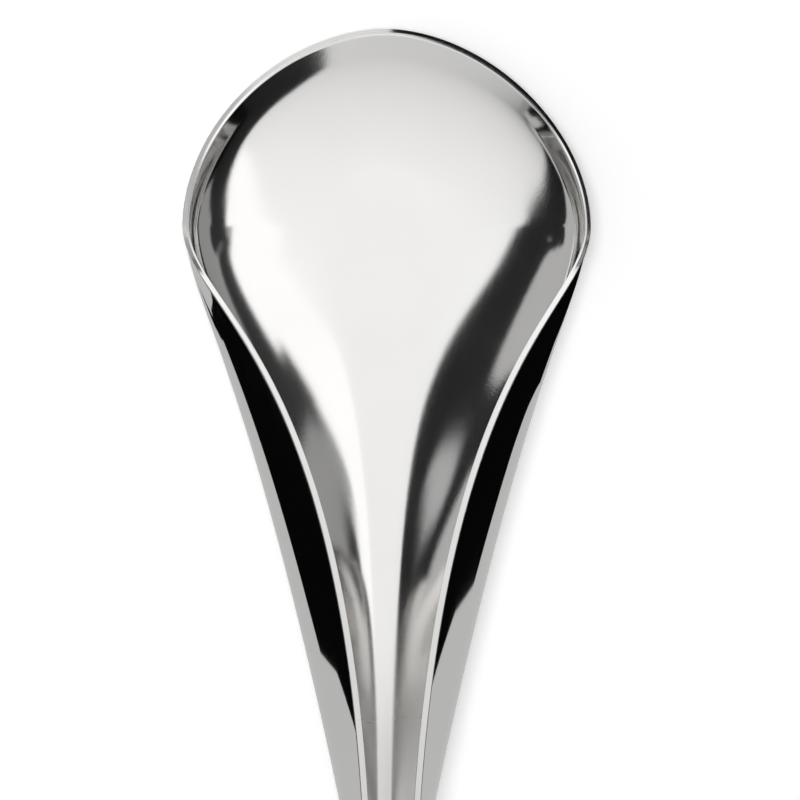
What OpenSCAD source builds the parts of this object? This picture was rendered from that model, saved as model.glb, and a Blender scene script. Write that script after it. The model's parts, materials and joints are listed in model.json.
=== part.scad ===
// Tea bag spoon of polished sheet steel: a round bowl whose sides turn inward over a funnel,
// which runs on as a slotted, rolled handle with a rounded end.
// +X is to the right, +Y points to the tip, +Z is up. The origin lies under the middle of the
// spoon, on the surface that the flat base rests on.

/* [Spoon] */
// Length from the tip to the end of the handle
spoon_l = 165; // [150:1:185]
// Thickness of the steel sheet, which is also the width of its edge seen from above
sheet_t = 0.75; // [0.5:0.05:1]
// Share of each turned-in side that is bent, next to the widest line
bend_share = 0.35; // [0.15:0.05:0.45]

/* [Bowl] */
// Width across the shoulders
bowl_w = 45; // [40:0.5:52]
// Reach of the tip ahead of the shoulders
bowl_reach = 21.8; // [18:0.2:26]
// Fullness of the front outline, where 2 is an ellipse
front_power = 1.85; // [1.7:0.05:2.2]
// Width of the flat base under the bowl
base_w = 12.2; // [9:0.2:16]
// Height of the rim at the shoulders
shoulder_h = 6.4; // [5:0.1:9]
// Height of the rim at the tip
tip_h = 2.9; // [1.5:0.1:4]
// How soon the rim falls from the shoulders to the tip, where 2 is an even fall
rim_fall = 5.6; // [2:0.2:8]
// Run of the sloping side at the shoulders, seen from above
side_run = 1.4; // [0:0.1:3]
// Run of the sloping lip at the tip, seen from above
lip_run = 8.6; // [5:0.2:10]
// How late the side turns into the lip, where 1 is at once
lip_fall = 1.3; // [1.1:0.1:2]
// Fullness of the corner between base and side, at the base, where a little over half is round
shoulder_base_full = 0.42; // [0.36:0.02:0.6]
// Fullness of that corner at the side
shoulder_side_full = 0.72; // [0.6:0.02:0.9]

/* [Funnel] */
// Length from the shoulders to the neck, where the handle begins
funnel_l = 66; // [58:1:74]
// How far behind the shoulders the sides start to come in
shoulder_ease = 9.2; // [6:0.1:12]
// How far behind the shoulders the straight run to the neck is aimed from
funnel_ease = 13.3; // [12:0.1:20]
// Width that the sides are aimed from there
side_aim_w = 31.4; // [26:0.1:36]
// Width that the edges of the mouth are aimed from there
mouth_aim_w = 11.4; // [9:0.1:18]
// Width that the flat base is aimed from there, where less makes a narrower trough
base_aim_w = 0.4; // [0:0.2:6]
// Fullness that the corner between floor and side is aimed from there, at the floor
funnel_base_full = -0.1; // [-0.2:0.02:0.6]
// Fullness that the same corner is aimed from there, at the side
funnel_side_full = 0.38; // [0.1:0.02:0.6]
// Height that the rim is aimed from there
rim_aim_h = 15.1; // [12:0.1:16]
// Rise of the turned-in side at the shoulders
shoulder_turn_h = 1.6; // [1:0.1:2.5]
// Rise of the turned-in side that the funnel is aimed from
funnel_turn_h = 4.8; // [3.5:0.1:6]

/* [Neck] */
// Width across the neck
neck_w = 9.4; // [8.5:0.1:12]
// Width of the slot at the neck
neck_slot_w = 4.6; // [4.2:0.1:6]
// Height of the rim at the neck
neck_h = 12.4; // [11:0.1:13]
// Rise of the turned-in side at the neck
neck_turn_h = 4.5; // [3.5:0.1:5.5]
// Width of the flat floor at the neck
neck_base_w = 1.2; // [0.8:0.1:4]
// Fullness of the corner between floor and side at the neck, at the floor
neck_base_full = 0.46; // [0.4:0.02:0.6]
// Fullness of that corner at the side
neck_side_full = 0.46; // [0.4:0.02:0.6]

/* [Handle] */
// Width of the handle at its end
handle_w = 9; // [8:0.1:11]
// Width of the slot at the handle's end
slot_w = 5.2; // [4.4:0.1:6]
// Height of the handle's section at its end
handle_h = 8.6; // [7.5:0.1:11]
// Rise of the turned-in side at the handle's end
handle_turn_h = 4; // [3:0.1:5]
// Width of the flat floor at the handle's end
handle_base_w = 2; // [1.2:0.1:4]
// Fullness of the corner between floor and side at the handle's end
handle_full = 0.6; // [0.5:0.01:0.7]
// How far the handle's underside rises from the neck to the end
handle_lift = 4; // [0:0.5:8]
// How far behind the neck the handle keeps the funnel's line
neck_ease = 9; // [5:0.5:10]
// How far ahead of the end the handle's underside levels out
end_ease = 30; // [15:1:45]

/* [Hidden] */

// Lines of the mesh along the front, along each side, along the handle and up each rib
front_steps = 36;
side_steps = 24;
handle_steps = 16;
belly_steps = 14;
bend_steps = 4;
wall_steps = 2;

// Fullness of the bend at the widest line, at both ends
bend_full = [0.62, 0.62];

// Places along the spoon
shoulder_y = spoon_l / 2 - bowl_reach;
end_reach = handle_w / 2;
end_run = spoon_l - bowl_reach - end_reach;

// A section across the spoon: its run behind the shoulders, half widths of the side, the mouth's
// outer edge and the flat floor, heights of the rim and the turned-in side, lift of the floor,
// fullness of the corner between floor and side, at the floor and at the side, and run of the side
shoulder_full = [shoulder_base_full, shoulder_side_full];
shoulder_half_w = [bowl_w, bowl_w, base_w] / 2;
shoulder = concat([0], shoulder_half_w, [shoulder_h, shoulder_turn_h, 0], shoulder_full, [side_run]);
aim_half_w = [side_aim_w, mouth_aim_w, base_aim_w] / 2;
funnel_full = [funnel_base_full, funnel_side_full];
funnel_aim = concat([funnel_ease], aim_half_w, [rim_aim_h, funnel_turn_h, 0], funnel_full, [0]);
neck_half_w = [neck_w / 2, neck_slot_w / 2 + sheet_t, neck_base_w / 2];
neck_full = [neck_base_full, neck_side_full];
neck = concat([funnel_l], neck_half_w, [neck_h, neck_turn_h, 0], neck_full, [0]);
end_half_w = [handle_w / 2, slot_w / 2 + sheet_t, handle_base_w / 2];
end_full = [handle_full, handle_full];
end = concat([end_run], end_half_w, [handle_h, handle_turn_h, handle_lift], end_full, [0]);

// The four guide sections of the funnel and of the handle, which share their line at the neck
along = [1, 0, 0, 0, 0, 0, 0, 0, 0, 0];
neck_line = (neck - funnel_aim) / (funnel_l - funnel_ease);
funnel_guides = [shoulder, shoulder + shoulder_ease * along, funnel_aim, neck];
handle_guides = [neck, neck + neck_ease * neck_line, end - end_ease * along, end];

// A point on the curve that four guides draw
function curve(guides, t) =
    pow(1 - t, 3) * guides[0]
    + 3 * t * pow(1 - t, 2) * guides[1]
    + 3 * pow(t, 2) * (1 - t) * guides[2]
    + pow(t, 3) * guides[3];

// A rounded corner from one point to another
function corner(from, apex, to, full, t) =
    curve([from, from + full[0] * (apex - from), to + full[1] * (apex - to), to], t);

// The outer face of a rib, from the edge of the flat floor to the rim, as points of distance and height
function rib(floor_edge, heel, turn, rim, full) =
    let (bend = bend_share * norm(rim - turn))
    let (bend_start = turn + bend * (heel - turn) / norm(heel - turn))
    let (bend_end = turn + bend_share * (rim - turn))
    concat(
        [for (i = [0 : belly_steps]) corner(floor_edge, heel, bend_start, full, i / belly_steps)],
        [for (i = [1 : bend_steps]) corner(bend_start, turn, bend_end, bend_full, i / bend_steps)],
        [for (i = [1 : wall_steps]) bend_end + (rim - bend_end) * i / wall_steps]
    );

// The rib of a section across the funnel or the handle
function side_rib(s) =
    let (heel = [s[1] - s[9], s[6]])
    let (turn = [s[1] - s[9] * s[5] / s[4], s[6] + s[4] - s[5]])
    rib([s[3], s[6]], heel, turn, [s[2], s[6] + s[4]], [s[7], s[8]]);

// The rib at an angle round the front, from 0 at the shoulder to 90 at the tip
function front_rib(angle) =
    let (across = pow(abs(cos(angle)) / (bowl_w / 2), front_power))
    let (ahead = pow(abs(sin(angle)) / bowl_reach, front_power))
    let (reach = pow(across + ahead, -1 / front_power))
    let (rim = [reach, tip_h + (shoulder_h - tip_h) * pow(abs(cos(angle)), rim_fall)])
    let (heel = [reach - side_run - (lip_run - side_run) * pow(abs(sin(angle)), lip_fall), 0])
    rib([base_w / 2, 0], heel, rim + (heel - rim) * shoulder_turn_h / shoulder_h, rim, shoulder_full);

// The inner face of a rib: one sheet thickness in, with the edge one thickness wide from above
function slope_at(face, i) =
    i == 0 ? [1, 0] : face[min(i + 1, len(face) - 1)] - face[i - 1];
function inner(face) =
    let (last = len(face) - 1)
    let (lean = atan2(-slope_at(face, last)[0], slope_at(face, last)[1]))
    [for (i = [0 : last])
        let (slope = slope_at(face, i))
        i == last
            ? face[i] - sheet_t * [1, tan(lean / 2)]
            : face[i] + sheet_t * [-slope[1], slope[0]] / norm(slope)];

// A rib set in place: across the spoon on one side, or fanned round the front
function across_spoon(face, run, side) = [for (p = face) [side * p[0], shoulder_y - run, p[1]]];
function fanned(face, angle) =
    [for (p = face) [p[0] * cos(angle), shoulder_y + p[0] * sin(angle), p[1]]];

function quad(a, b, c, d) = [[a, c, b], [a, d, c]];

// The bowl and funnel as one sheet, from the left side of the neck round the tip to the right side
module bowl_sheet() {
    sections = [for (i = [1 : side_steps]) curve(funnel_guides, i / side_steps)];
    turns = [for (i = [0 : front_steps]) 180 * (1 - i / front_steps)];
    side_ribs = [for (s = sections) side_rib(s)];
    front_ribs = [for (angle = turns) front_rib(angle)];
    outer_ribs = concat(
        [for (i = [side_steps - 1 : -1 : 0]) across_spoon(side_ribs[i], sections[i][0], -1)],
        [for (i = [0 : front_steps]) fanned(front_ribs[i], turns[i])],
        [for (i = [0 : side_steps - 1]) across_spoon(side_ribs[i], sections[i][0], 1)]
    );
    inner_ribs = concat(
        [for (i = [side_steps - 1 : -1 : 0]) across_spoon(inner(side_ribs[i]), sections[i][0], -1)],
        [for (i = [0 : front_steps]) fanned(inner(front_ribs[i]), turns[i])],
        [for (i = [0 : side_steps - 1]) across_spoon(inner(side_ribs[i]), sections[i][0], 1)]
    );
    count = len(outer_ribs);
    size = len(outer_ribs[0]);
    rim = size - 1;
    last = count - 1;
    // Place of a point in the list, on the outer face (layer 0) or the inner face (layer 1)
    function at(layer, i, j) = (layer * count + i) * size + j;
    faces = concat(
        [for (i = [0 : last - 1], j = [0 : rim - 1])
            each quad(at(0, i, j), at(0, i, j + 1), at(0, i + 1, j + 1), at(0, i + 1, j))],
        [for (i = [0 : last - 1], j = [0 : rim - 1])
            each quad(at(1, i, j), at(1, i + 1, j), at(1, i + 1, j + 1), at(1, i, j + 1))],
        [for (i = [0 : last - 1])
            each quad(at(0, i + 1, rim), at(0, i, rim), at(1, i, rim), at(1, i + 1, rim))],
        [for (j = [0 : rim - 1])
            each quad(at(0, 0, j + 1), at(0, 0, j), at(1, 0, j), at(1, 0, j + 1))],
        [for (j = [0 : rim - 1])
            each quad(at(0, last, j), at(0, last, j + 1), at(1, last, j + 1), at(1, last, j))],
        quad(at(0, 0, 0), at(0, last, 0), at(1, last, 0), at(1, 0, 0)),
        [[for (i = [last : -1 : 0]) at(0, i, 0)]],
        [[for (i = [0 : last]) at(1, i, 0)]]
    );
    points = concat([for (r = outer_ribs) each r], [for (r = inner_ribs) each r]);
    polyhedron(points, faces);
}

// The handle as one sheet, from the neck to the end
function reversed(list) = [for (i = [len(list) - 1 : -1 : 0]) list[i]];
function ring(s) =
    let (face = side_rib(s))
    concat(
        reversed(across_spoon(face, s[0], -1)),
        across_spoon(face, s[0], 1),
        reversed(across_spoon(inner(face), s[0], 1)),
        across_spoon(inner(face), s[0], -1)
    );
module handle_sheet() {
    rings = [for (i = [0 : handle_steps]) ring(curve(handle_guides, i / handle_steps))];
    size = len(rings[0]);
    last = handle_steps * size;
    faces = concat(
        [for (i = [0 : handle_steps - 1], j = [0 : size - 1])
            let (k = (j + 1) % size)
            each quad(i * size + j, i * size + k, (i + 1) * size + k, (i + 1) * size + j)],
        [for (j = [0 : size / 2 - 2])
            each quad(j + 1, j, size - 1 - j, size - 2 - j)],
        [for (j = [0 : size / 2 - 2])
            each quad(last + j, last + j + 1, last + size - 2 - j, last + size - 1 - j)]
    );
    points = [for (r = rings) each r];
    polyhedron(points, faces);
}

// Pressed bowl and funnel
module bowl_shell() {
    color("silver")
    bowl_sheet();
}

// Rolled and slotted handle
module handle_channel() {
    color("silver")
    handle_sheet();
}

// Rounded end, the handle's last section turned half round
module end_cap() {
    face = side_rib(end);
    wall = concat([[0, handle_lift]], face, reversed(inner(face)), [[0, handle_lift + sheet_t]]);
    color("silver")
    translate([0, shoulder_y - end_run, 0])
    rotate([0, 0, 180])
    rotate_extrude(angle = 180, $fn = 64)
    polygon(wall);
}

bowl_shell();
handle_channel();
end_cap();
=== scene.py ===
import json
from math import atan2, cos, pi, radians, sin, tan

import bmesh
import bpy
import numpy as np
from mathutils import Matrix, Vector


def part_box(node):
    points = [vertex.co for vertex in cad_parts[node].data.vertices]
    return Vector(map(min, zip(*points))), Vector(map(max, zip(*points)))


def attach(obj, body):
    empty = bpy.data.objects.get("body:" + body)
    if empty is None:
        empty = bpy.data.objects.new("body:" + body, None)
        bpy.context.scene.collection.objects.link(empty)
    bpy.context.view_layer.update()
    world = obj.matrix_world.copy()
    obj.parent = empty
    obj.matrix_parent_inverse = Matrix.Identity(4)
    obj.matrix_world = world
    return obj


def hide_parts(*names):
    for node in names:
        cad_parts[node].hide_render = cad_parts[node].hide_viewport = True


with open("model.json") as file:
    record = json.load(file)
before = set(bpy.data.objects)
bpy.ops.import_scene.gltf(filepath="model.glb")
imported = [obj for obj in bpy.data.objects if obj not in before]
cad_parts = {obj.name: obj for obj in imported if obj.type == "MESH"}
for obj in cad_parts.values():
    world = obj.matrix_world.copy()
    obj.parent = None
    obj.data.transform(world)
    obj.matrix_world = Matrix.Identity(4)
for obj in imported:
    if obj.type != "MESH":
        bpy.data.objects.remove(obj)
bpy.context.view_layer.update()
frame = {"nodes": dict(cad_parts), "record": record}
mm = 0.001
print("frame loaded:", sorted(frame["nodes"]))

# what the frame gives
bowlLow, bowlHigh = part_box("bowl_shell")
handleLow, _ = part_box("handle_channel")
capLow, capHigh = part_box("end_cap")
shoulderY = frame["record"]["mounts"][0]["pos_m"][1]

# the sheet that all three pieces are made of
sheetForm = {
    "thickness": 0.75 * mm,
    "bendShare": 0.35,          # part of the turned-in side that is bent
    "bendFull": (0.62, 0.62),   # how far the bend is drawn to its apex, at both ends
    "outerEdge": 0.08 * mm,     # radius of the sheet's edge, outside and inside
    "innerEdge": 0.06 * mm,
    "edgeSegments": 3,
    "ridgeShare": 0.65,         # where the edge's outer slope ends
    "floorRows": 6,
    "bellyRows": 34,
    "bendRows": 12,
    "wallRows": 2,
    "mirrorGap": 0.0001 * mm,   # points closer than this become one
    "mergeGap": 0.002 * mm,
}

bowlForm = {
    "reach": bowlHigh.y - shoulderY,
    "halfWidth": bowlHigh.x,
    "fullness": 1.85,           # 2 would be an ellipse
    "floorHalf": 6.1 * mm,
    "full": (0.42, 0.72),
    "shoulderRim": 6.4 * mm,    # rim height, and how fast it falls towards the tip
    "tipRim": 2.9 * mm,
    "rimFall": 5.6,
    "sideRun": 1.4 * mm,        # how far the foot of the wall stands in, likewise
    "lipRun": 8.6 * mm,
    "lipFall": 1.3,
    "edgeDrop": 0.55 * mm,      # the sheet's edge slopes down to the outside round the bowl
    "edgeFade": 6 * mm,
    "frontRibs": 72,
    "sideRibs": 110,
}
# aim and neck list a section's values, see section()
funnelForm = {
    "ease": 9.2 * mm,
    "aimRun": 13.3 * mm,
    "aim": np.array([15.7, 5.7, 0.2, 15.1, 4.8, 0.0, 0.0]) * mm,
    "aimFull": (-0.1, 0.38),
    "shoulderTurn": 1.6 * mm,
    "neck": np.array([4.7, 3.05, 0.6, 12.4, 4.5, 0.0, 0.0]) * mm,
    "neckFull": (0.46, 0.46),
}
handleForm = {
    "neckEase": 9 * mm,
    "endEase": 30 * mm,
    "slotHalf": 2.6 * mm,
    "floorHalf": 1 * mm,
    "turn": 4 * mm,
    "full": (0.6, 0.6),
    "ribs": 120,
}
capForm = {"ribs": 32}


# section across the spoon: run behind the shoulders, then half widths of side, mouth and floor, rim height,
# rise of the turned-in side, lift of the floor and how far the side's foot stands in,
# then fullness of the corner between floor and side at both ends
def section(run, values, full):
    return np.concatenate([[run], values, full])


# smooth path from the first of four guides to the last
def guided(guides, t):
    a, b, c, d = guides
    return (1 - t) ** 3 * a + 3 * t * (1 - t) ** 2 * b + 3 * t * t * (1 - t) * c + t ** 3 * d


def rounded(start, apex, end, full, t):
    return guided((start, start + full[0] * (apex - start), end + full[1] * (apex - end), end), t)


# closed half section of the sheet: out along the underside, over the edge, back along the inside
def ribLoop(floorEdge, heel, turn, rim, full, drop):
    f = sheetForm
    length = np.linalg.norm
    bendStart = turn + f["bendShare"] * length(rim - turn) * (heel - turn) / length(heel - turn)
    bendEnd = turn + f["bendShare"] * (rim - turn)
    centre = np.array([0.0, floorEdge[1]])
    face = [centre + (floorEdge - centre) * i / f["floorRows"] for i in range(f["floorRows"])]
    face += [rounded(floorEdge, heel, bendStart, full, i / f["bellyRows"]) for i in range(f["bellyRows"])]
    face += [rounded(bendStart, turn, bendEnd, f["bendFull"], i / f["bendRows"]) for i in range(f["bendRows"])]
    face += [bendEnd + (rim - bendEnd) * i / f["wallRows"] for i in range(f["wallRows"] + 1)]
    # the inside, one thickness in from the underside
    lining = []
    for i, p in enumerate(face):
        slope = face[min(i + 1, len(face) - 1)] - face[max(i - 1, 0)]
        if i <= f["floorRows"]:
            slope = np.array([1.0, 0.0])
        lining.append(p + f["thickness"] * np.array([-slope[1], slope[0]]) / length(slope))
    # level edge, then its outer part let down
    lean = min(0.0, atan2(bendEnd[0] - rim[0], rim[1] - bendEnd[1]))
    lining[-1] = rim - f["thickness"] * np.array([1.0, tan(lean / 2)])
    ridge = rim + f["ridgeShare"] * (lining[-1] - rim)
    for i in range(f["wallRows"]):
        face[-1 - i] = face[-1 - i] - np.array([0.0, drop * (1 - i / f["wallRows"])])
    return face + [ridge] + lining[::-1]


def sideLoop(s):
    run, side, mouth, floorHalf, rimH, turnH, lift, foot = s[:8]
    loop = ribLoop(np.array([floorHalf, lift]), np.array([side - foot, lift]),
                   np.array([side - foot * turnH / rimH, lift + rimH - turnH]),
                   np.array([mouth, lift + rimH]), s[8:],
                   bowlForm["edgeDrop"] * max(0.0, 1 - run / bowlForm["edgeFade"]))
    return [Vector((p[0], shoulderY - run, p[1])) for p in loop]


def frontLoop(angle):
    b = bowlForm
    power = b["fullness"]
    across = (abs(cos(angle)) / b["halfWidth"]) ** power
    ahead = (abs(sin(angle)) / b["reach"]) ** power
    out = (across + ahead) ** (-1 / power)
    rim = np.array([out, b["tipRim"] + (b["shoulderRim"] - b["tipRim"]) * abs(cos(angle)) ** b["rimFall"]])
    foot = b["sideRun"] + (b["lipRun"] - b["sideRun"]) * abs(sin(angle)) ** b["lipFall"]
    heel = np.array([out - foot, 0.0])
    turn = rim + (heel - rim) * funnelForm["shoulderTurn"] / b["shoulderRim"]
    loop = ribLoop(np.array([b["floorHalf"], 0.0]), heel, turn, rim, b["full"], b["edgeDrop"])
    return [Vector((p[0] * cos(angle), shoulderY + p[0] * sin(angle), p[1])) for p in loop]


shoulder = section(0, [bowlForm["halfWidth"], bowlForm["halfWidth"], bowlForm["floorHalf"],
                       bowlForm["shoulderRim"], funnelForm["shoulderTurn"], 0.0, bowlForm["sideRun"]],
                   bowlForm["full"])
funnelAim = section(funnelForm["aimRun"], funnelForm["aim"], funnelForm["aimFull"])
neck = section(shoulderY - bowlLow.y, funnelForm["neck"], funnelForm["neckFull"])
end = section(shoulderY - handleLow.y, [capHigh.x, handleForm["slotHalf"] + sheetForm["thickness"],
                                        handleForm["floorHalf"], capHigh.z - capLow.z,
                                        handleForm["turn"], capLow.z, 0.0], handleForm["full"])
along = section(1, np.zeros(7), (0, 0))
neckLine = (neck - funnelAim) / (neck[0] - funnelAim[0])
funnelGuides = (shoulder, shoulder + funnelForm["ease"] * along, funnelAim, neck)
handleGuides = (neck, neck + handleForm["neckEase"] * neckLine, end - handleForm["endEase"] * along, end)


def newPiece(name, bm, materials):
    mesh = bpy.data.meshes.new(name)
    bm.to_mesh(mesh)
    bm.free()
    for material in materials:
        mesh.materials.append(material)
    piece = bpy.data.objects.new(name, mesh)
    bpy.context.scene.collection.objects.link(piece)
    return piece


# materials
def newGroup(name, inputs, outputs):
    group = bpy.data.node_groups.new(name, "ShaderNodeTree")
    for label, value in inputs:
        group.interface.new_socket(label, in_out="INPUT", socket_type="NodeSocketFloat").default_value = value
    for label in outputs:
        group.interface.new_socket(label, in_out="OUTPUT", socket_type="NodeSocketFloat")
    return group, group.nodes, group.links


# fine grain of the metal and the faint smears of handling
grainForm = {"detail": 3.0, "roughness": 0.6, "smearDetail": 4.0, "span": (0.25, 0.75)}


def makeSteelGrain():
    group, nodes, links = newGroup("steelGrain", (("Grain Scale", 4000.0), ("Smear Scale", 60.0)),
                                   ("Grain", "Smear"))
    enter = nodes.new("NodeGroupInput")
    leave = nodes.new("NodeGroupOutput")
    place = nodes.new("ShaderNodeTexCoord")
    grain = nodes.new("ShaderNodeTexNoise")
    grain.inputs["Detail"].default_value = grainForm["detail"]
    grain.inputs["Roughness"].default_value = grainForm["roughness"]
    smear = nodes.new("ShaderNodeTexNoise")
    smear.inputs["Detail"].default_value = grainForm["smearDetail"]
    links.new(place.outputs["Object"], grain.inputs["Vector"])
    links.new(place.outputs["Object"], smear.inputs["Vector"])
    links.new(enter.outputs["Grain Scale"], grain.inputs["Scale"])
    links.new(enter.outputs["Smear Scale"], smear.inputs["Scale"])
    links.new(grain.outputs["Fac"], leave.inputs["Grain"])
    links.new(smear.outputs["Fac"], leave.inputs["Smear"])
    return group


steelGrain = makeSteelGrain()


def mapped(nodes, links, source, low, high, span=(0, 1), steps="LINEAR"):
    node = nodes.new("ShaderNodeMapRange")
    node.interpolation_type = steps
    node.inputs["From Min"].default_value, node.inputs["From Max"].default_value = span
    node.inputs["To Min"].default_value, node.inputs["To Max"].default_value = low, high
    links.new(source, node.inputs["Value"])
    return node.outputs["Result"]


def makeSteel(name, look):
    material = bpy.data.materials.new(name)
    material.use_nodes = True
    nodes, links = material.node_tree.nodes, material.node_tree.links
    shader = nodes["Principled BSDF"]
    shader.inputs["Metallic"].default_value = 1.0
    grain = nodes.new("ShaderNodeGroup")
    grain.node_tree = steelGrain
    grain.inputs["Grain Scale"].default_value = look["grainScale"]
    grain.inputs["Smear Scale"].default_value = look["smearScale"]
    tone = nodes.new("ShaderNodeMix")
    tone.data_type = "RGBA"
    tone.inputs["A"].default_value = (*look["dark"], 1)
    tone.inputs["B"].default_value = (*look["light"], 1)
    links.new(grain.outputs["Smear"], tone.inputs["Factor"])
    links.new(tone.outputs["Result"], shader.inputs["Base Color"])
    rough = mapped(nodes, links, grain.outputs["Smear"], *look["roughness"], grainForm["span"])
    # rougher down the trough
    if "trough" in look:
        place = nodes.new("ShaderNodeTexCoord")
        split = nodes.new("ShaderNodeSeparateXYZ")
        links.new(place.outputs["Object"], split.inputs[0])
        deep = mapped(nodes, links, split.outputs["Y"], 0, look["trough"], look["troughEnds"], "SMOOTHSTEP")
        total = nodes.new("ShaderNodeMath")
        links.new(rough, total.inputs[0])
        links.new(deep, total.inputs[1])
        rough = total.outputs[0]
    links.new(rough, shader.inputs["Roughness"])
    bump = nodes.new("ShaderNodeBump")
    bump.inputs["Strength"].default_value = look["bump"]
    bump.inputs["Distance"].default_value = look["bumpDepth"]
    links.new(grain.outputs["Grain"], bump.inputs["Height"])
    links.new(bump.outputs["Normal"], shader.inputs["Normal"])
    return material


satinLook = {"dark": (0.765, 0.758, 0.748), "light": (0.825, 0.818, 0.808), "roughness": (0.08, 0.1),
             "grainScale": 5000, "smearScale": 90, "bump": 0.25, "bumpDepth": 0.01 * mm,
             "trough": 0.22, "troughEnds": (24 * mm, 0)}
mirrorLook = {"dark": (0.765, 0.758, 0.748), "light": (0.805, 0.798, 0.788), "roughness": (0.03, 0.06),
              "grainScale": 2500, "smearScale": 60, "bump": 0.02, "bumpDepth": 0.005 * mm}
# the sheet's edge has a darker base colour than the rest of the same steel: painted shade that dims the rim;
# its higher roughness is the edge's own finish
edgeLook = {"dark": (0.62, 0.615, 0.606), "light": (0.67, 0.664, 0.655), "roughness": (0.22, 0.28),
            "grainScale": 4000, "smearScale": 150, "bump": 0.1, "bumpDepth": 0.01 * mm}
mirrorOutside = makeSteel("mirrorOutside", mirrorLook)
edgeSteelPaintedShade = makeSteel("edgeSteelPaintedShade", edgeLook)
satinInside = makeSteel("satinInside", satinLook)
print("steel finishes made")


# a grid of ribs laid over the half sections, mirrored, its edge rounded and its ends closed
def makeSheet(name, loops, node):
    bm = bmesh.new()
    ribs, rows = len(loops) - 1, len(loops[0]) - 1
    bmesh.ops.create_grid(bm, x_segments=ribs, y_segments=rows, size=1)
    rimRow = rows // 2
    for face in bm.faces:
        row = int((face.calc_center_median().y + 1) / 2 * rows)
        face.material_index = 0 if row < rimRow - 1 else 1 if row <= rimRow else 2
    for vert in bm.verts:
        rib = round((vert.co.x + 1) / 2 * ribs)
        row = round((vert.co.y + 1) / 2 * rows)
        vert.co = loops[rib][row]
    bmesh.ops.mirror(bm, geom=bm.verts[:] + bm.edges[:] + bm.faces[:], matrix=Matrix(),
                     merge_dist=sheetForm["mirrorGap"], axis="X")
    bmesh.ops.remove_doubles(bm, verts=bm.verts[:], dist=sheetForm["mergeGap"])
    bmesh.ops.dissolve_degenerate(bm, edges=bm.edges[:], dist=sheetForm["mirrorGap"])
    bmesh.ops.recalc_face_normals(bm, faces=bm.faces[:])
    rounds = set()
    for sides, radius in (((0, 1), sheetForm["outerEdge"]), ((1, 2), sheetForm["innerEdge"])):
        corners = [e for e in bm.edges if len(e.link_faces) == 2
                   and sorted(f.material_index for f in e.link_faces) == list(sides)]
        made = bmesh.ops.bevel(bm, geom=corners, offset=radius, offset_type="OFFSET",
                               segments=sheetForm["edgeSegments"], profile=0.5, affect="EDGES", material=1,
                               clamp_overlap=True)
        rounds.update(made["faces"])
    openEdges = [e for e in bm.edges if e.is_boundary]
    for edge in openEdges:
        edge.smooth = False
    ends = bmesh.ops.holes_fill(bm, edges=openEdges, sides=0)["faces"]
    for face in ends:
        face.material_index = 1
    # the ground edge stays flat, all else is smooth
    for face in bm.faces:
        face.smooth = face.material_index != 1 or face in rounds
    closed = len(ends)
    piece = newPiece(name, bm, (mirrorOutside, edgeSteelPaintedShade, satinInside))
    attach(piece, "root")
    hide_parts(node)
    print(name, "made,", len(piece.data.polygons), "faces,", closed, "ends closed")


# bowl and funnel, from the tip back to the neck
frontRibs, sideRibs = bowlForm["frontRibs"], bowlForm["sideRibs"]
bowlLoops = [frontLoop(pi / 2 * (1 - i / frontRibs)) for i in range(frontRibs + 1)]
bowlLoops += [sideLoop(guided(funnelGuides, i / sideRibs)) for i in range(1, sideRibs + 1)]
makeSheet("pressedBowl", bowlLoops, "bowl_shell")

# handle, from the neck to the end
handleRibs = handleForm["ribs"]
handleLoops = [sideLoop(guided(handleGuides, i / handleRibs)) for i in range(handleRibs + 1)]
makeSheet("rolledHandle", handleLoops, "handle_channel")


# rounded end, the last section turned about an upright line
def endLoop(angle):
    return [Vector((p.x * cos(angle), p.y - p.x * sin(angle), p.z)) for p in sideLoop(end)]


capRibs = capForm["ribs"]
capLoops = [endLoop(pi / 2 * i / capRibs) for i in range(capRibs + 1)]
makeSheet("roundedEnd", capLoops, "end_cap")

# studio
floorForm = {"size": 3.0, "drop": 0.02 * mm, "colour": (0.9, 0.9, 0.9), "roughness": 0.9, "glow": 0.33}
worldForm = {"seen": 1.0, "fill": 0.35}
lampForm = {"size": 0.3, "height": 0.9, "power": 3.5, "lean": 9}

# white panel overhead, a little brighter to the right and to the tip
panelForm = {"height": 16.0, "tone": 1.06, "toRight": 0.0065, "toTip": 0.032, "halfSize": 30.0}
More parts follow.
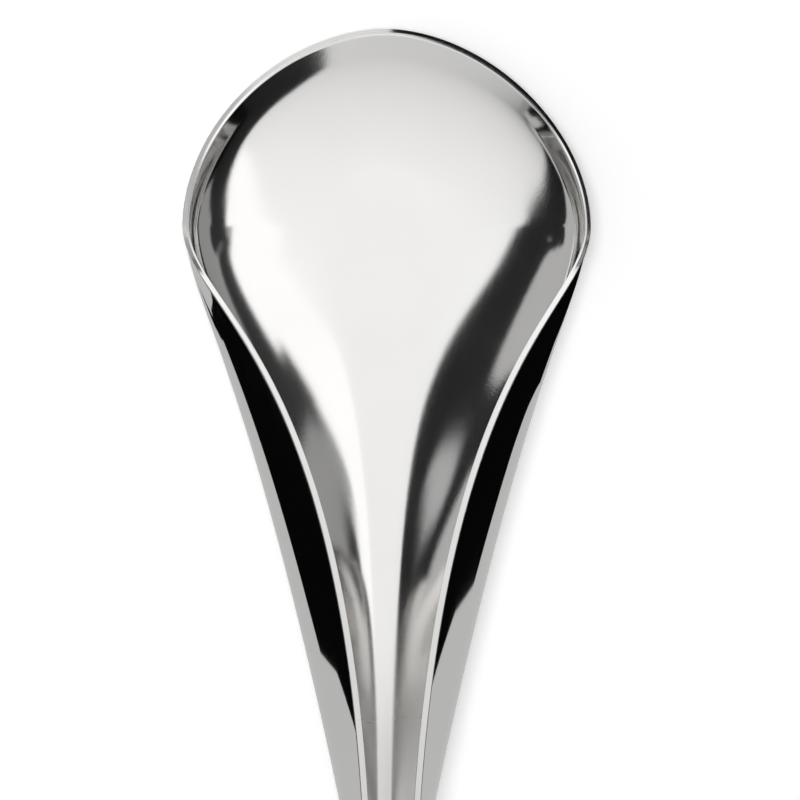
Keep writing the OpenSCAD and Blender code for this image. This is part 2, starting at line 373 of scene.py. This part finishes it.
# cards round the bowl: distance, tone, then corners as degrees from straight up, to the right and to the tip
cardForm = {
    # grey walls
    "leftWall": (12.0, 0.5, ((-30, 4), (-42, -2), (-52, -15), (-66, -27), (-80, -40), (-85, 0), (-75, 40),
                             (-26, 40))),
    "rightWall": (12.0, 0.3, ((46, 40), (46, 0), (50, -10), (62, -22), (80, -40), (85, 0), (75, 40))),
    "backWall": (12.0, 0.3, ((-48, -32), (-46, -50), (-78, -62), (-86, -34), (-68, -28))),
    # the dark bands inside the bowl
    "leftFlag": (6.0, 0.01, ((-13, 34), (-12, 11), (-12.5, 7), (-14, 3), (-17, 0), (-20, -3.5), (-25, -6.5),
                             (-30, -9), (-35, -12), (-40, -15.5), (-45, -19), (-50, -23), (-55, -28),
                             (-61, -30.5), (-70, -32), (-74, -30), (-68, -22), (-62, -14), (-57, -8), (-52, -2),
                             (-47, 1), (-43, 4), (-43, 13), (-40, 15), (-35, 14), (-31, 16), (-29, 20),
                             (-26, 34))),
    "rightFlag": (6.0, 0.01, ((34.5, 1), (37, 3), (41, 2.5), (45, 1), (49, 0.5), (49.5, -5), (54, -8.5),
                              (59, -13), (64, -18), (70, -22), (80, -25), (80, -45), (60, -62), (27, -62),
                              (18, -40), (17, -33), (24, -28.5), (30, -26.5), (36, -23.5), (40, -20.5),
                              (42, -17), (41, -13), (39, -9.5), (36, -6), (34.5, -2))),
    "rightWedge": (6.0, 0.01, ((37, 22), (36, 17), (34.5, 13), (33, 10), (31.5, 7), (35, 8), (38, 10.5),
                               (41, 13.5), (44.5, 17), (46, 20), (47.5, 24), (50, 30), (44, 32))),
    # dark cards close by, for the shoulders alone
    "rightFill": (0.145, 0.01, ((28.5, 0.7), (45, 1), (45, 12), (42.5, 17), (38, 14.5), (33, 10), (28, 8.5))),
    "leftFill": (0.145, 0.01, ((-18.6, 0.7), (-46, 1), (-46, 14), (-38, 14.5), (-33, 10), (-18.5, 6))),
    # lighter parts between the bands
    "leftGap": (4.0, 0.5, ((-26, 3.5), (-27, 6), (-31, 8.5), (-34, 9.5), (-37, 8), (-38, 5), (-34, 2.5))),
    "rightGap": (8.0, 0.32, ((31, 4), (30, 2), (45, 0), (50, 4), (50, 30), (44, 32), (38, 15), (32, 8))),
    "brightLobe": (9.0, 1.24, ((13, 2.5), (18, -1), (24, -6), (30, -11), (38, -16), (44, 0), (50, 32), (20, 32),
                               (16.5, 7))),
    # dark lines by the rim
    "sideFlag": (5.0, 0.01, ((79, -14), (80, 10), (74, 30), (61, 51), (40, 69), (48, 84), (74, 62), (90, 36),
                             (96, 12), (95, -17))),
    "tipFlag": (5.9, 0.01, ((52, 30), (30, 45), (20, 60), (25, 85), (60, 65), (82, 30))),
}
# black strips that stand along both sides, as points to the right, to the tip and up, and the grey table
# between them with its black parts
stripForm = {
    "left": np.array([(-63, 42, 15), (-110, 8, 78), (-150, -160, 78)]) * mm,
    "right": np.array([(62, 45, 15), (150, 15, 78), (150, -160, 78)]) * mm,
    "front": np.array((52, 80, 0)) * mm,
    "black": 0.002,
    "grey": 0.58,
    "leftTable": np.array([(-26, 52.5), (-30.6, 48.8), (-38, 45.3), (-57, 41.3), (-150, 22), (-150, -20),
                           (-110, 8), (-63, 36), (-38, 42.4), (-29, 46.5)]) * mm,
    "rightTable": np.array([(20, 58), (22.5, 53), (23.4, 49), (25.4, 46), (26.1, 41), (40, 36), (68, 28),
                            (150, 5), (150, 58), (70, 58), (70, 130), (-5, 130), (2, 80)]) * mm,
}
# small upright screen, left of the shoulder, as points to the tip and up
screenForm = {
    "across": -28 * mm,
    "tone": 0.5,
    "corners": np.array([(41, 28), (44.8, 29), (45.2, 24.5), (46.2, 21.8), (48.5, 21.3), (50, 14), (44, 14),
                         (41, 17)]) * mm,
}


# 1 for rays that show a surface, 0 for those that only light it
def seenDirectly(nodes, links):
    light = nodes.new("ShaderNodeLightPath")
    seen = light.outputs["Is Camera Ray"]
    for label in ("Is Glossy Ray", "Is Transmission Ray"):
        either = nodes.new("ShaderNodeMath")
        either.operation = "MAXIMUM"
        links.new(seen, either.inputs[0])
        links.new(light.outputs[label], either.inputs[1])
        seen = either.outputs[0]
    return seen


def makeFloor():
    bm = bmesh.new()
    bmesh.ops.create_grid(bm, x_segments=2, y_segments=2, size=floorForm["size"] / 2)
    bmesh.ops.translate(bm, verts=bm.verts[:], vec=(0, 0, -floorForm["drop"]))
    material = bpy.data.materials.new("whiteTable")
    material.use_nodes = True
    nodes, links = material.node_tree.nodes, material.node_tree.links
    shader = nodes["Principled BSDF"]
    shader.inputs["Base Color"].default_value = (*floorForm["colour"], 1)
    shader.inputs["Roughness"].default_value = floorForm["roughness"]
    shader.inputs["Specular IOR Level"].default_value = 0.0
    shader.inputs["Emission Color"].default_value = (1, 1, 1, 1)
    glow = mapped(nodes, links, seenDirectly(nodes, links), 0, floorForm["glow"])
    links.new(glow, shader.inputs["Emission Strength"])
    piece = newPiece("floor", bm, [material])


def makeWorld():
    world = bpy.data.worlds.new("studio")
    bpy.context.scene.world = world
    world.use_nodes = True
    nodes, links = world.node_tree.nodes, world.node_tree.links
    back = nodes["Background"]
    back.inputs["Color"].default_value = (1, 1, 1, 1)
    glow = mapped(nodes, links, seenDirectly(nodes, links), worldForm["fill"], worldForm["seen"])
    links.new(glow, back.inputs["Strength"])


# a card that only the metal sees
def makeCard(name, tone, corners):
    bm = bmesh.new()
    bmesh.ops.create_circle(bm, cap_ends=True, segments=len(corners), radius=1)
    bm.verts.ensure_lookup_table()
    for vert, corner in zip(bm.verts, corners):
        vert.co = corner
    material = bpy.data.materials.new(name)
    material.use_nodes = True
    shader = material.node_tree.nodes["Principled BSDF"]
    shader.inputs["Base Color"].default_value = (0, 0, 0, 1)
    shader.inputs["Specular IOR Level"].default_value = 0.0
    shader.inputs["Emission Color"].default_value = (1, 1, 1, 1)
    shader.inputs["Emission Strength"].default_value = tone
    piece = newPiece(name, bm, [material])
    piece.visible_camera = False
    piece.visible_diffuse = False
    piece.visible_shadow = False
    return material.node_tree


def makePanel():
    f = panelForm
    size, high = f["halfSize"], f["height"]
    tree = makeCard("panel", f["tone"], [Vector((x, shoulderY + y, high)) for x, y in
                                         ((-size, -size), (size, -size), (size, size), (-size, size))])
    place = tree.nodes.new("ShaderNodeTexCoord")
    slope = tree.nodes.new("ShaderNodeVectorMath")
    slope.operation = "DOT_PRODUCT"
    slope.inputs[1].default_value = (f["toRight"], f["toTip"], 0)
    total = tree.nodes.new("ShaderNodeMath")
    total.inputs[1].default_value = f["tone"] - f["toTip"] * shoulderY
    tree.links.new(place.outputs["Object"], slope.inputs[0])
    tree.links.new(slope.outputs["Value"], total.inputs[0])
    tree.links.new(total.outputs[0], tree.nodes["Principled BSDF"].inputs["Emission Strength"])


def makeCards():
    for name, (reach, tone, angles) in cardForm.items():
        corners = []
        for x, y in angles:
            z, b = radians(np.hypot(x, y)), atan2(y, x)
            out = Vector((sin(z) * cos(b), sin(z) * sin(b), cos(z)))
            corners.append(Vector((0, shoulderY, 0)) + reach * out)
        makeCard(name, tone, corners)


def makeStrips():
    f = stripForm
    for name in ("left", "right"):
        line = f[name]
        for (x0, y0, high0), (x1, y1, high1) in zip(line, line[1:]):
            makeCard(name + "Strip", f["black"], [Vector((x0, y0, 0)), Vector((x1, y1, 0)),
                                                  Vector((x1, y1, high1)), Vector((x0, y0, high0))])
    ends = [f["front"] * (-1, 1, 1), *f["left"], *f["right"][::-1], f["front"]]
    makeCard("tableCard", f["grey"], [Vector((x, y, -floorForm["drop"] / 2)) for x, y, _ in ends])
    for name in ("leftTable", "rightTable"):
        makeCard("tableFlag", f["black"], [Vector((x, y, -floorForm["drop"] / 4)) for x, y in f[name]])


def makeScreen():
    f = screenForm
    makeCard("leftScreen", f["tone"], [Vector((f["across"], y, z)) for y, z in f["corners"]])


# lamp for the shadow, hidden from the metal
def makeLamp():
    data = bpy.data.lights.new("key", "AREA")
    data.shape = "SQUARE"
    data.size = lampForm["size"]
    data.energy = lampForm["power"]
    lamp = bpy.data.objects.new("key", data)
    lean = radians(lampForm["lean"])
    lamp.location = (-sin(lean) * lampForm["height"], shoulderY, cos(lean) * lampForm["height"])
    lamp.rotation_euler = (0, -lean, 0)
    lamp.visible_glossy = False
    bpy.context.scene.collection.objects.link(lamp)


makeFloor()
makeWorld()
makePanel()
makeCards()
makeStrips()
makeScreen()
makeLamp()

# camera, almost straight above, a little to the left
cameraForm = {"distance": 0.6, "tilt": 3.9, "pixel": 0.11 * mm, "imagePixels": 800,
              "axisX": 386.6, "shoulderPixelY": 225, "lookHeight": 5 * mm, "sensor": 36.0, "clipStart": 0.01}


def makeCamera():
    c = cameraForm
    data = bpy.data.cameras.new("camera")
    data.sensor_width = c["sensor"]
    data.lens = c["sensor"] * c["distance"] / (c["pixel"] * c["imagePixels"])
    data.clip_start = c["clipStart"]
    camera = bpy.data.objects.new("camera", data)
    middle = c["imagePixels"] / 2
    target = Vector(((middle - c["axisX"]) * c["pixel"],
                     shoulderY - (middle - c["shoulderPixelY"]) * c["pixel"], c["lookHeight"]))
    tilt = radians(c["tilt"])
    camera.location = target + c["distance"] * Vector((-sin(tilt), 0, cos(tilt)))
    camera.rotation_euler = (0, -tilt, 0)
    bpy.context.scene.collection.objects.link(camera)
    bpy.context.scene.camera = camera


makeCamera()
bpy.context.scene.view_settings.view_transform = "Standard"
print("studio made")
